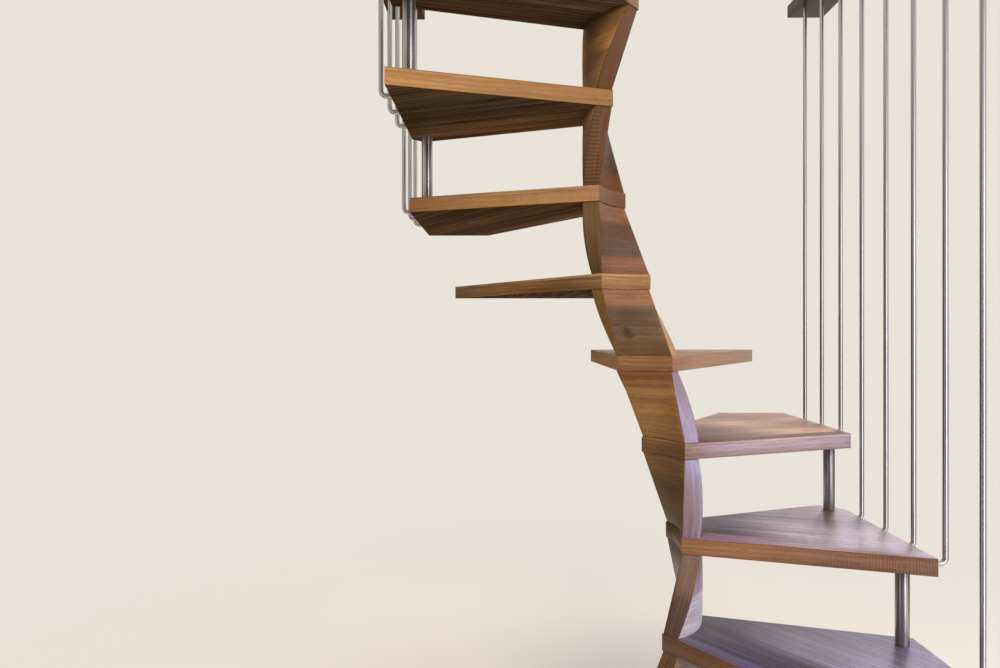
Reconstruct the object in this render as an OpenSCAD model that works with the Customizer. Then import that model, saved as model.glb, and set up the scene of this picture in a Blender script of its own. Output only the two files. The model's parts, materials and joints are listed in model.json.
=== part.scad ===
// Compact open spiral stair of solid laminated hardwood on a rectangular plan.
// Ten free treads and a landing turn anticlockwise round an open well. A twisted
// ribbon of wooden blocks joins their inner ends, steel tube posts stand between
// their outer ends, and thin steel rods hang from two rim boards down to the
// side edges of the treads. The origin is on the floor, on the axis of the turn.
// +Z is up, +Y is the wall side and +X the side where the climb passes first.

/* [Stair] */
// Rise from one tread top to the next, mm
riser = 215; // [205:1:225]
// Turn from one tread to the next, degrees
step_angle = 35.33; // [34.83:0.1:35.93]
// Direction of the middle line of the first tread, degrees
first_angle = -68.57; // [-70.07:0.1:-67.07]
// Distance from the axis to each side edge, mm
half_width = 604; // [590:1:625]
// Distance from the axis to the wall edge, mm
back_reach = 635; // [620:1:660]
// Distance from the axis to the front edge, mm
front_reach = 635; // [620:1:660]

/* [Treads] */
// Thickness of a tread, mm
tread_t = 40; // [38:1:46]
// Half of the angle between the two long edges of a tread, degrees
tread_half = 17.9; // [17.7:0.1:18.4]
// Distance from the axis to the corners of the inner end, along the middle line, mm
nose_reach = 79.5; // [76:0.5:86]
// Width of the inner end between its corners, mm
nose_w = 142; // [130:1:148]
// Depth of the hollow in the inner end, mm
nose_hollow = 10; // [6:0.5:14]
// Where the 45 degree cut of the sharp corner on the +X side starts, from the axis, mm
cut_right = 195; // [190:1:205]
// Where the 45 degree cut of the sharp corner on the -X side starts, from the axis, mm
cut_left = 215; // [205:1:222]

/* [Spine blocks] */
// How far the treads' inner ends stand proud of the blocks, mm
nose_proud = 2.5; // [0:0.5:5]
// Length of a block's flat side faces along the tread edge, mm
block_depth = 41; // [34:1:50]
// Bulge of a block's outward face, mm
block_bulge = 24; // [15:1:28]
// How far a block's outward face swells past a straight line at mid height, mm
block_swell = 7.5; // [0:0.5:9]

/* [Tube posts] */
// Outside diameter of a tube post, mm
post_d = 30; // [25:1:34]
// Wall of the tube, mm
post_wall = 2.5; // [2:0.5:4]
// Distance from the post's centre line in to the tread's outer edge, mm
post_inset = 45; // [40:1:50]
// Diameter of the foot disc under the first post, mm
foot_d = 70; // [60:1:90]
// Thickness of the foot disc, mm
foot_t = 6; // [4:1:10]

/* [Hanging rods] */
// Diameter of a rod, mm
rod_d = 12; // [8:1:14]
// Distance from a tread's side edge out to a rod's centre line, mm
rod_gap = 32; // [30:1:45]
// Distance from the wall edge to the first rod on the +X side, mm
rod_back_right = 99; // [94:1:104]
// Distance from the front edge to the last rod on the +X side, mm
rod_front_right = 85; // [80:1:90]
// Distance from the wall edge to the first rod on the -X side, mm
rod_back_left = 114; // [109:1:119]
// Distance from the front edge to the last rod on the -X side, mm
rod_front_left = 58; // [53:1:63]
// Radius of a rod's centre line in its bend, mm
rod_bend = 14; // [12:1:18]
// Depth that a rod runs into its tread, mm
rod_seat = 30; // [20:1:40]
// Depth that a rod runs up into its rim board, mm
rod_top_seat = 20; // [12:1:26]
// Gap round a rod in its hole, mm
rod_clear = 0.2; // [0.1:0.1:0.5]

/* [Rim boards] */
// Height of the rim boards' undersides above the floor, mm
rim_z = 2205; // [2200:1:2230]
// Distance from the rods' centre lines in to a rim board's inner edge, mm
rim_inset = 18; // [14:1:26]
// Width of a rim board, mm
rim_w = 120; // [80:1:160]
// Thickness of a rim board, mm
rim_t = 40; // [30:1:60]

/* [Fixings] */
// Diameter of the round base plate, mm
base_d = 370; // [360:1:420]
// Thickness of the base plate, mm
base_t = 10; // [8:1:15]
// Distance from the centre of a floor bolt in to the plate's edge, mm
base_edge = 20; // [17:1:26]
// Diameter of a floor bolt hole, mm
base_hole_d = 14; // [11:1:15]
// Diameter of the blind holes for the wall pins, mm
pin_hole_d = 16; // [12:1:20]
// Depth of the wall pin holes, mm
pin_hole_depth = 90; // [60:1:110]
// Distance between the two wall pins of one tread, mm
pin_spacing = 240; // [200:1:260]

/* [Hidden] */
$fn = 64;
wood = [0.55, 0.38, 0.26];
dark_wood = [0.25, 0.15, 0.10];
steel = [0.72, 0.72, 0.72];
far = 3 * half_width;
over = 1;
arc_steps = 8;
layers = 8;
corner_y = nose_w / 2;
hollow_r = (corner_y * corner_y + nose_hollow * nose_hollow) / (2 * nose_hollow);
hollow_cx = nose_reach + nose_hollow - hollow_r;
inner_x = nose_reach + nose_proud;
inner_y = corner_y - nose_proud;
inner_r = (inner_y * inner_y + nose_hollow * nose_hollow) / (2 * nose_hollow);
inner_cx = inner_x + nose_hollow - inner_r;
inner_a = asin(inner_y / inner_r);
outer_x = inner_x + block_depth * cos(tread_half);
outer_y = inner_y + block_depth * sin(tread_half);
bulge_r = (outer_y * outer_y + block_bulge * block_bulge) / (2 * block_bulge);
bulge_cx = outer_x + block_bulge - bulge_r;
bulge_a = asin(outer_y / bulge_r);
ring_n = 2 * arc_steps + 2;
rod_x = half_width + rod_gap;
rod_top = rim_z + rod_top_seat;
rim_inner = rod_x - rim_inset;
plan_depth = back_reach + front_reach;
// Rods on the +X side from the wall forward, on treads 4, 3 and 2
right_rods = [3, 4, 3];
// Rods on the -X side from the wall forward, on treads 7, 8 and 9
left_rods = [3, 3, 4];
rod_pitch_right = (plan_depth - rod_back_right - rod_front_right) / (total(right_rods, 3) - 1);
rod_pitch_left = (plan_depth - rod_back_left - rod_front_left) / (total(left_rods, 3) - 1);
base_bolt_circle = base_d - 2 * base_edge;

function total(list, k) = k == 0 ? 0 : list[k - 1] + total(list, k - 1);
function tread_angle(n) = first_angle + (n - 1) * step_angle;
function half_angle(n) = first_angle + (n - 0.5) * step_angle;
function turned(p, a) = [p[0] * cos(a) - p[1] * sin(a), p[0] * sin(a) + p[1] * cos(a)];
function inner_at(i) = inner_a * (2 * i / arc_steps - 1);
function bulge_at(i) = bulge_a * (2 * i / arc_steps - 1);
function inner_p(i) = [inner_cx + inner_r * cos(inner_at(i)), inner_r * sin(inner_at(i))];
function outer_p(i) = [bulge_cx + bulge_r * cos(bulge_at(i)), bulge_r * sin(bulge_at(i))];
function ring_p(j) = j == 0 ? inner_p(0) : j < arc_steps + 2 ? outer_p(j - 1) : inner_p(ring_n - j);
function swelled(j, t) = j > 0 && j < arc_steps + 2 ? 1 + 4 * t * (1 - t) * block_swell / outer_x : 1;
function ruled(j, a, b, t) = turned(ring_p(j), a) * (1 - t) + turned(ring_p(j), b) * t;
function block_p(j, a, b, t) = ruled(j, a, b, t) * swelled(j, t);
function side_post(n) = [
  cos(half_angle(n)) * (half_width - post_inset) / abs(cos(half_angle(n))),
  sin(half_angle(n)) * (half_width - post_inset) / abs(cos(half_angle(n)))
];
function front_post(n) = [
  cos(half_angle(n)) * (front_reach - post_inset) / abs(sin(half_angle(n))),
  -(front_reach - post_inset)
];
function right_rod(i) = back_reach - rod_back_right - i * rod_pitch_right;
function left_rod(i) = back_reach - rod_back_left - i * rod_pitch_left;
function right_ys(k) = [for (i = [total(right_rods, k):total(right_rods, k + 1) - 1]) right_rod(i)];
function left_ys(k) = [for (i = [total(left_rods, k):total(left_rods, k + 1) - 1]) left_rod(i)];
function top_of(n) = n * riser;
function under(n) = n * riser - tread_t;

// Outline of the whole plan: three sides and the wall line
module plan_outline() {
  translate([-half_width, -front_reach])
    square([2 * half_width, plan_depth]);
}

// One tread before it is trimmed to the plan: a wedge with its inner end cut off
module wedge() {
  far_x = nose_reach + far * cos(tread_half);
  far_y = corner_y + far * sin(tread_half);
  polygon([
    [nose_reach, -corner_y],
    [far_x, -far_y],
    [far_x, far_y],
    [nose_reach, corner_y]
  ]);
}

// The 45 degree cut beside a post nearest the wall; side is 1 or -1
module corner_cut(side, start) {
  polygon([
    [side * (half_width + over), start - over],
    [side * (half_width + over), start + half_width],
    [0, start + half_width]
  ]);
}

module tread_outline(n) {
  difference() {
    intersection() {
      rotate(tread_angle(n))
        wedge();
      plan_outline();
    }
    rotate(tread_angle(n))
      translate([hollow_cx, 0])
        circle(r = hollow_r);
    if (n == 3)
      corner_cut(1, cut_right);
    if (n == 8)
      corner_cut(-1, cut_left);
  }
}

// The hole for one rod's leg in a side edge; side is 1 or -1
module rod_hole(side, y, n) {
  translate([side * half_width, y, under(n) + tread_t / 2])
    rotate([0, -side * 90, 0])
      translate([0, 0, -over])
        cylinder(d = rod_d + 2 * rod_clear, h = rod_seat + over);
}

module plain_tread(n) {
  color(wood)
    translate([0, 0, under(n)])
      linear_extrude(height = tread_t)
        tread_outline(n);
}

module rodded_tread(n, side, ys) {
  color(wood)
    difference() {
      translate([0, 0, under(n)])
        linear_extrude(height = tread_t)
          tread_outline(n);
      for (y = ys)
        rod_hole(side, y, n);
    }
}

// The middle of a wall tread's back edge, where its two pin holes are spread from
function wall_mid(n) = back_reach * cos(tread_angle(n)) / sin(tread_angle(n));

module walled_tread(n) {
  color(wood)
    difference() {
      translate([0, 0, under(n)])
        linear_extrude(height = tread_t)
          tread_outline(n);
      for (s = [-0.5, 0.5])
        translate([wall_mid(n) + s * pin_spacing, back_reach, under(n) + tread_t / 2])
          rotate([90, 0, 0])
            translate([0, 0, -over])
              cylinder(d = pin_hole_d, h = pin_hole_depth + over);
    }
}

// One twisted block, lofted from a place on the lower tread's inner end to the
// same place under the upper one's. Towards the well its edges are straight lines
// and the faces between them are ruled; the outward face swells past the line
module spine_block(n) {
  z0 = n == 1 ? base_t : top_of(n - 1);
  z1 = under(n);
  a0 = tread_angle(n - 1);
  a1 = tread_angle(n);
  pts = [
    for (l = [0:layers])
      for (j = [0:ring_n - 1])
        let (t = l / layers, p = block_p(j, a0, a1, t))
          [p[0], p[1], z0 + (z1 - z0) * t]
  ];
  top = layers * ring_n;
  sides = [
    for (l = [0:layers - 1])
      for (j = [0:ring_n - 1])
        for (h = [0, 1])
          let (a = l * ring_n + j, b = l * ring_n + (j + 1) % ring_n)
            h == 0 ? [a, a + ring_n, b] : [b, a + ring_n, b + ring_n]
  ];
  caps = [
    for (i = [0:arc_steps - 1])
      for (h = [0:3])
        let (p = (ring_n - i) % ring_n, q = ring_n - i - 1, r = i + 2, s = i + 1)
          h == 0 ? [p, s, r] :
          h == 1 ? [p, r, q] :
          h == 2 ? [top + p, top + r, top + s] :
          [top + p, top + q, top + r]
  ];
  color(wood)
    polyhedron(points = pts, faces = concat(sides, caps), convexity = 4);
}

module tube(p, z0, z1) {
  translate([p[0], p[1], z0])
    difference() {
      cylinder(d = post_d, h = z1 - z0);
      translate([0, 0, -over])
        cylinder(d = post_d - 2 * post_wall, h = z1 - z0 + 2 * over);
    }
}

module side_tube(n) {
  color(steel)
    tube(side_post(n - 1), top_of(n - 1), under(n));
}

module front_tube(n) {
  color(steel)
    tube(front_post(n - 1), top_of(n - 1), under(n));
}

// The post under the first tread stands on the floor on a foot disc
module foot_tube() {
  p = front_post(0);
  color(steel)
    union() {
      translate([p[0], p[1], 0])
        cylinder(d = foot_d, h = foot_t);
      tube(p, foot_t - over, under(1));
    }
}

// A hanging rod with its bent lower end; side is 1 or -1
module rod(side, y, n) {
  zm = under(n) + tread_t / 2;
  leg = rod_gap - rod_bend + rod_seat;
  color(steel)
    mirror([side < 0 ? 1 : 0, 0, 0])
      union() {
        translate([rod_x, y, zm + rod_bend])
          cylinder(d = rod_d, h = rod_top - zm - rod_bend);
        translate([rod_x - rod_bend, y, zm])
          rotate([0, -90, 0])
            cylinder(d = rod_d, h = leg);
        translate([rod_x - rod_bend, y, zm + rod_bend])
          rotate([90, 0, 0])
            rotate([0, 0, -90])
              rotate_extrude(angle = 90)
                translate([rod_bend, 0])
                  circle(d = rod_d);
      }
}

module rim_board(side, ys) {
  color(dark_wood)
    difference() {
      translate([side > 0 ? rim_inner : -rim_inner - rim_w, -front_reach, rim_z])
        cube([rim_w, plan_depth, rim_t]);
      for (y = ys)
        translate([side * rod_x, y, rim_z - over])
          cylinder(d = rod_d + 2 * rod_clear, h = rod_top_seat + over);
    }
}

module base_plate() {
  color(steel)
    difference() {
      cylinder(d = base_d, h = base_t);
      for (i = [0:5])
        rotate(30 + 60 * i)
          translate([base_bolt_circle / 2, 0, -over])
            cylinder(d = base_hole_d, h = base_t + 2 * over);
    }
}

rods_02_y = right_ys(2);
rods_03_y = right_ys(1);
rods_04_y = right_ys(0);
rods_07_y = left_ys(0);
rods_08_y = left_ys(1);
rods_09_y = left_ys(2);

module tread_01() { plain_tread(1); }
module tread_02() { rodded_tread(2, 1, rods_02_y); }
module tread_03() { rodded_tread(3, 1, rods_03_y); }
module tread_04() { rodded_tread(4, 1, rods_04_y); }
module tread_05() { walled_tread(5); }
module tread_06() { walled_tread(6); }
module tread_07() { rodded_tread(7, -1, rods_07_y); }
module tread_08() { rodded_tread(8, -1, rods_08_y); }
module tread_09() { rodded_tread(9, -1, rods_09_y); }
module tread_10() { plain_tread(10); }
module landing() { plain_tread(11); }
module spine_block_01() { spine_block(1); }
module spine_block_02() { spine_block(2); }
module spine_block_03() { spine_block(3); }
module spine_block_04() { spine_block(4); }
module spine_block_05() { spine_block(5); }
module spine_block_06() { spine_block(6); }
module spine_block_07() { spine_block(7); }
module spine_block_08() { spine_block(8); }
module spine_block_09() { spine_block(9); }
module spine_block_10() { spine_block(10); }
module spine_block_11() { spine_block(11); }
module post_01() { foot_tube(); }
module post_02() { front_tube(2); }
module post_03() { side_tube(3); }
module post_04() { side_tube(4); }
module post_08() { side_tube(8); }
module post_09() { side_tube(9); }
module post_10() { front_tube(10); }
module post_11() { front_tube(11); }
module rods_tread_02() {
  for (y = rods_02_y)
    rod(1, y, 2);
}
module rods_tread_03() {
  for (y = rods_03_y)
    rod(1, y, 3);
}
module rods_tread_04() {
  for (y = rods_04_y)
    rod(1, y, 4);
}
module rods_tread_07() {
  for (y = rods_07_y)
    rod(-1, y, 7);
}
module rods_tread_08() {
  for (y = rods_08_y)
    rod(-1, y, 8);
}
module rods_tread_09() {
  for (y = rods_09_y)
    rod(-1, y, 9);
}
module rim_board_right() { rim_board(1, concat(rods_02_y, rods_03_y, rods_04_y)); }
module rim_board_left() { rim_board(-1, concat(rods_07_y, rods_08_y, rods_09_y)); }

base_plate();
tread_01();
tread_02();
tread_03();
tread_04();
tread_05();
tread_06();
tread_07();
tread_08();
tread_09();
tread_10();
landing();
spine_block_01();
spine_block_02();
spine_block_03();
spine_block_04();
spine_block_05();
spine_block_06();
spine_block_07();
spine_block_08();
spine_block_09();
spine_block_10();
spine_block_11();
post_01();
post_02();
post_03();
post_04();
post_08();
post_09();
post_10();
post_11();
rods_tread_02();
rods_tread_03();
rods_tread_04();
rods_tread_07();
rods_tread_08();
rods_tread_09();
rim_board_right();
rim_board_left();
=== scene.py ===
"""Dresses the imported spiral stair: laminated walnut boards, twisted blocks and bright steel."""
import json
import math

import bmesh
import bpy
from mathutils import Matrix, Vector

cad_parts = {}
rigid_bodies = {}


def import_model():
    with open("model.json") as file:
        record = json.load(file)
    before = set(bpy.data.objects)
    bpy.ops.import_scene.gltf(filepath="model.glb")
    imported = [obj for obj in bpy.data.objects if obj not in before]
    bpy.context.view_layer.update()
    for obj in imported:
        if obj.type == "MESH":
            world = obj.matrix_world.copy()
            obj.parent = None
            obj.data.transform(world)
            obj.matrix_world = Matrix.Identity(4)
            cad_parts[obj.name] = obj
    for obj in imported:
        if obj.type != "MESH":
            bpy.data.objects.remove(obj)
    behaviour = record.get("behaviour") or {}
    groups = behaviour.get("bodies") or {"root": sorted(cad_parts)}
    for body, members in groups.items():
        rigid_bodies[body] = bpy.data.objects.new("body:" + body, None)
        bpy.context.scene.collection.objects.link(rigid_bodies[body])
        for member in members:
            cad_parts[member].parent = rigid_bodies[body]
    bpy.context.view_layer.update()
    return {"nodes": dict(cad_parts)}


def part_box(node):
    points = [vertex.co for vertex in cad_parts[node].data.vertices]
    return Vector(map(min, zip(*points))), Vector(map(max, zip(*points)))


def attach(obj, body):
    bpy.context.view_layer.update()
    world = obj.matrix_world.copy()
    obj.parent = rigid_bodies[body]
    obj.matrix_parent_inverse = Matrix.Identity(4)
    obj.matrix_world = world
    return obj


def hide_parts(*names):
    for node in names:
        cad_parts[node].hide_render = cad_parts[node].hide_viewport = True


bl_info = {
    "name": "Spiral stair in walnut and steel",
    "version": (1, 0, 0),
    "blender": (4, 5, 0),
    "location": "View3D > Sidebar > Stair",
    "description": "Gives a spiral stair its boards, twisted blocks, tubes, rods and studio",
    "category": "Object",
}

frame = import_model()
BODY = "root"
TREADS = [f"tread_{n:02d}" for n in range(1, 11)] + ["landing"]
BLOCKS = [f"spine_block_{n:02d}" for n in range(1, 12)]
POSTS = ["post_01", "post_02", "post_03", "post_04", "post_08", "post_09", "post_10", "post_11"]
ROD_SETS = [f"rods_tread_{n:02d}" for n in (2, 3, 4, 7, 8, 9)]
RIMS = ["rim_board_right", "rim_board_left"]


def linear(code):
    """Turns an sRGB hex value into linear red, green, blue and alpha."""
    values = [int(code[i:i + 2], 16) / 255 for i in (0, 2, 4)]
    colour = [v / 12.92 if v <= 0.04045 else ((v + 0.055) / 1.055) ** 2.4 for v in values]
    return (*colour, 1.0)


# Walnut varies from board to board. Each kind of stock is a tint over the material's own colours,
# as factors of red, green and blue, and then a share of ripple figure. Not all of it is the
# wood's own: the violet-blue, pale and dark tints of the lower treads and blocks hold painted
# light, a cool cast of painted daylight, painted sheen and painted shadow.
STOCK = {
    "plain": (1.0, 1.0, 1.0, 0.25),
    "dusk": (0.60, 0.60, 0.64, 0.5),
    "copper": (0.71, 0.59, 0.68, 0.1),
    "umber": (0.52, 0.48, 0.44, 0.15),
    "olive": (0.60, 0.58, 0.50, 0.3),
    "grey": (0.35, 0.35, 0.48, 0.15),
    "gold": (0.95, 0.90, 0.76, 0.3),
    "mauve": (0.36, 0.26, 0.24, 0.1),
    "ticked": (0.39, 0.39, 0.47, 1.6),
    "smoke_shadow": (0.40, 0.40, 0.48, 0.15),
    "dark_cool_daylight": (0.32, 0.33, 0.50, 0.4),
    "stone_daylight": (0.58, 0.60, 0.88, 0.4),
    "fog_sheen": (0.46, 0.54, 0.75, 0.15),
    "tobacco": (0.55, 0.41, 0.24, 0.3),
    "lilac_daylight": (0.59, 0.72, 1.75, 0.15),
    "lavender_daylight": (0.62, 0.79, 2.25, 0.15),
    "pale_daylight": (1.42, 2.12, 4.40, 0.1),
    "side": (0.66, 0.64, 0.66, 0.25),
    "amber": (1.58, 1.58, 1.34, 0.15),
    "tan": (1.36, 1.30, 1.05, 0.15),
    "fawn_painted_light": (1.10, 1.22, 1.45, 0.2),
    "brick": (0.78, 0.64, 0.54, 0.2),
    "blush_daylight": (0.84, 0.72, 0.92, 0.25),
    "heather_shadow": (0.25, 0.19, 0.40, 0.25),
    "blossom_daylight": (1.34, 1.36, 1.78, 0.2),
    "thistle_half_shadow": (0.52, 0.44, 0.70, 0.25),
    "lupin_cool_shadow": (0.70, 0.60, 1.05, 0.25),
    "cedar": (0.88, 0.74, 0.72, 0.9),
    "wine": (0.76, 0.69, 0.90, 0.9),
    "slate_sheen": (0.52, 0.74, 2.20, 0.9),
    # Painted shadow: the dark inner part of tread 2's top, in the shade of the blocks above
    "shade": (0.12, 0.11, 0.70, 0.6),
    "damson_daylight": (0.37, 0.51, 1.90, 1.0),
    "pewter_daylight": (0.78, 0.92, 2.55, 0.6),
    "dove_daylight": (1.13, 1.54, 3.60, 0.9),
    "dusty_shadow": (0.21, 0.22, 1.10, 0.6),
    "shell_daylight": (0.69, 0.86, 1.42, 0.6),
    "mallow_sheen": (0.83, 0.90, 1.25, 0.2),
    "petal_sheen": (1.12, 1.20, 1.38, 0.2),
    "moss": (1.22, 1.36, 1.42, 0.2),
    "curly": (1.12, 1.14, 1.16, 1.0),
    "toffee": (1.17, 1.05, 0.79, 0.2),
    "biscuit": (1.42, 1.40, 1.16, 0.7),
    "walnut": (0.41, 0.32, 0.24, 0.3),
    "peat": (0.38, 0.29, 0.22, 0.1),
    "plum": (0.35, 0.24, 0.20, 0.1),
    "rosewood": (0.58, 0.38, 0.27, 0.1),
    "burgundy": (0.43, 0.41, 0.54, 0.1),
    "cocoa": (0.42, 0.29, 0.20, 0.1),
    "bog": (0.21, 0.12, 0.09, 0.1),
    "chestnut": (0.66, 0.54, 0.44, 0.1),
    "sand": (0.82, 0.76, 0.60, 0.1),
    "wheat": (1.30, 1.30, 1.20, 0.15),
    "flax": (1.74, 1.72, 1.42, 0.15),
    "gilt": (1.52, 1.43, 1.16, 0.15),
    "bronze": (0.62, 0.45, 0.36, 0.1),
    "coral": (1.00, 0.88, 0.95, 0.1),
    "ochre": (1.10, 1.05, 0.76, 0.2),
    "straw": (0.82, 0.77, 0.55, 0.2),
    "russet": (0.60, 0.47, 0.32, 0.15),
}
# The long edges of a tread, from its inner end to its outer end. Those of tread 4 are tinted
# violet as a painted sheen of cool daylight
EDGE_STOCK = {
    1: ("plain", "plain"), 2: ("walnut", "dusk"), 3: ("cedar", "wine"), 4: ("mallow_sheen", "petal_sheen"),
    5: ("brick", "brick"), 6: ("wheat", "flax"), 7: ("curly", "biscuit", "toffee"),
    8: ("gold", "tan", "amber"),
    9: ("plain", "plain"), 10: ("plain", "plain"), 11: ("plain", "plain"),
}
# The back long edge of a tread, where it differs from the front one
BACK_STOCK = {5: "gilt"}
# The top of a tread, from its inner end to its outer end. These tints hold painted light: the
# dark inner parts are painted shadow of the treads and blocks above, and the violet-blue parts
# further out are painted daylight and sheen
TOP_STOCK = {
    2: ("shade", "shade", "slate_sheen", "slate_sheen", "slate_sheen"),
    3: ("dusty_shadow", "dusty_shadow", "dove_daylight", "shell_daylight", "shell_daylight"),
    4: ("heather_shadow", "heather_shadow", "thistle_half_shadow", "blossom_daylight", "blush_daylight"),
}
# A strip of the top along the front edge, from its inner end, with its width in metres. Its
# violet-blue tints are painted daylight, and on tread 4 it is also darker as painted shadow
STRIP_STOCK = {
    2: (("damson_daylight", "damson_daylight"), 0.115),
    3: (("pewter_daylight", "pewter_daylight", "dove_daylight", "shell_daylight", "shell_daylight"), 0.060),
    4: (("lupin_cool_shadow", "lupin_cool_shadow"), 0.045),
}
# The inner end of a tread, where its staves are cut across
NOSE_STOCK = {
    2: "peat", 3: "plum", 4: "sand", 5: "chestnut", 6: "wheat", 7: "rosewood", 8: "copper",
    9: "umber",
}
# The underside of every tread
UNDER_STOCK = "moss"
# The laminations of each block, from its foot to its head. Block 3's pale violet laminations are
# painted cool daylight and its dark head painted shadow, and block 6's bluish middle ones are
# painted sheen
BLOCK_STOCK = {
    1: ("plain", "olive", "plain", "umber"),
    2: ("olive", "plain", "umber", "olive"),
    3: ("pale_daylight", "pale_daylight", "lilac_daylight", "smoke_shadow"),
    4: ("tobacco", "umber", "umber", "olive"),
    5: ("ochre", "ochre", "straw", "russet"),
    6: ("umber", "fog_sheen", "fog_sheen", "coral"),
    7: ("copper", "grey", "plum", "bronze"),
    8: ("cocoa", "bog", "bog", "mauve"),
    9: ("tan", "plain", "tan", "plain"),
    10: ("plain", "umber", "plain", "plain"),
    11: ("olive", "plain", "plain", "umber"),
}
# The flat sides of each block, from its foot to its head. The violet-blue sides of blocks 3 to 5
# are painted cool daylight, and block 3's side is also darker towards its foot
SIDE_STOCK = {
    2: ("umber", "umber"), 3: ("dark_cool_daylight", "stone_daylight"), 4: ("lavender_daylight", "lavender_daylight"),
    5: ("lilac_daylight", "lilac_daylight"), 6: ("amber", "amber"), 7: ("olive", "olive"),
    8: ("ticked", "ticked"), 9: ("peat", "walnut"),
}
OTHER_SIDES = ("side", "side")
# The outward face of a block, where it differs from the face on the well. Block 8's is lighter
# and cooler as painted light on a face that lies in shade
OUTWARD_STOCK = {8: "fawn_painted_light"}
# Distances from the axis at which the tops are cut, and at which a tread ends, in metres
TOP_CUTS = (0.21, 0.35, 0.49, 0.63)
TREAD_REACH = 0.7
# Where the staves of some treads start, in metres, so that a dark or light one comes first
TREAD_SHIFT = {2: 1.136, 3: 3.014, 4: 1.239}
# Knots: block number, along the face and up from the block's foot, in metres
KNOTS = {6: (0.028, 0.062), 8: (-0.030, 0.074)}
# A side of a block's outline that is longer than this is a flat one, in metres
FLAT_SIDE = 0.030
# An upright glue line in the flat side of one block: the direction across it, its distance
# from the axis in metres and the stock beyond it
UPRIGHT_SEAM = {8: (Vector((0.993, -0.118, 0.0)), -0.1052, "burgundy")}
# The grain moves on by this much from one piece to the next, so that no two show the same
# wood: along and across it in metres, but across the long edges in staves
TOP_SHIFT = (1.37, 0.61)
EDGE_SHIFT = (2.9, 3)
BLOCK_SHIFT = (2.3, 1.7)
RIM_SHIFT = 3.0
# A place so far off that no knot shows, in metres
NO_KNOT = (9.0, 9.0, 0.0)
# How much of its normal points in a direction on a face that counts as turned that way, and
# how much points up or down on one that takes the material of a top or of an underside
TURNED = 0.7
LEVEL = 0.9
# Edges that turn by more than this are eased, and corners of a block's outline that turn by
# more than the second one are rounded
SHARP_EDGE = math.radians(30)
SHARP_CORNER = math.radians(40)
# Points closer together than this are one, in metres, and faces that turn by less than this
# are one flat face
TOUCH = 1e-5
ONE_FACE = math.radians(0.5)


class StairForm(bpy.types.PropertyGroup):
    """Sizes of the boards, blocks and steel that a maker would set."""

    first_angle: bpy.props.FloatProperty(
        name="First tread angle", description="Direction of the first tread's middle line",
        default=math.radians(-68.57), subtype="ANGLE")
    step_angle: bpy.props.FloatProperty(
        name="Step angle", description="Turn from one tread to the next",
        default=math.radians(35.33), subtype="ANGLE")
    half_angle: bpy.props.FloatProperty(
        name="Half angle", description="Half of the angle between a tread's two long edges",
        default=math.radians(17.9), subtype="ANGLE")
    arris: bpy.props.FloatProperty(
        name="Arris", description="Width of the eased edges of boards and blocks",
        default=0.0012, unit="LENGTH", precision=4)
    stave: bpy.props.FloatProperty(
        name="Stave width", description="Width of the staves that a tread is glued from",
        default=0.098, unit="LENGTH", precision=3)
    lamination: bpy.props.FloatProperty(
        name="Lamination", description="Thickness of the layers that a block is glued from",
        default=0.044, unit="LENGTH", precision=3)
    swell: bpy.props.FloatProperty(
        name="Block swell", description="How far a block's outward face swells at mid height",
        default=0.0075, unit="LENGTH", precision=4)
    ripple: bpy.props.FloatProperty(
        name="Ripple pitch", description="Spacing of the ripple figure across the grain",
        default=0.0065, unit="LENGTH", precision=4)
    tick: bpy.props.FloatProperty(
        name="Tick pitch", description="Spacing of the coarse ripple of ticked walnut",
        default=0.0085, unit="LENGTH", precision=4)
    bend: bpy.props.FloatProperty(
        name="Rod bend", description="Radius of a rod's centre line in its bend",
        default=0.014, unit="LENGTH", precision=3)
    tube_wall: bpy.props.FloatProperty(
        name="Tube wall", description="Wall of the tube posts",
        default=0.0025, unit="LENGTH", precision=4)
    tube: bpy.props.FloatProperty(
        name="Tube diameter", description="Outside diameter of the tube posts",
        default=0.030, unit="LENGTH", precision=3)
    foot: bpy.props.FloatProperty(
        name="Foot thickness", description="Thickness of the disc under the lowest tube",
        default=0.006, unit="LENGTH", precision=3)
    bolt_circle: bpy.props.FloatProperty(
        name="Bolt circle", description="Diameter of the circle that the floor bolts stand on",
        default=0.330, unit="LENGTH", precision=3)


class StairFinish(bpy.types.PropertyGroup):
    """Colours of the wood, the steel and the studio."""

    wood_dark: bpy.props.FloatVectorProperty(
        name="Dark growth", description="Late growth streaks of the walnut",
        size=4, subtype="COLOR", default=linear("6B4C33"), min=0, max=1)
    wood_mid: bpy.props.FloatVectorProperty(
        name="Heartwood", description="Main colour of the walnut",
        size=4, subtype="COLOR", default=linear("A07D56"), min=0, max=1)
    wood_light: bpy.props.FloatVectorProperty(
        name="Light growth", description="Early growth streaks of the walnut",
        size=4, subtype="COLOR", default=linear("C0A17B"), min=0, max=1)
    rim: bpy.props.FloatVectorProperty(
        name="Rim stain", description="Dark stain of the rim boards",
        size=4, subtype="COLOR", default=linear("4A3424"), min=0, max=1)
    steel: bpy.props.FloatVectorProperty(
        name="Steel", description="Stainless steel",
        size=4, subtype="COLOR", default=linear("C6C6C9"), min=0, max=1)
    backdrop: bpy.props.FloatVectorProperty(
        name="Backdrop", description="Pale floor and background",
        size=4, subtype="COLOR", default=linear("E9E3D9"), min=0, max=1)


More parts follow.
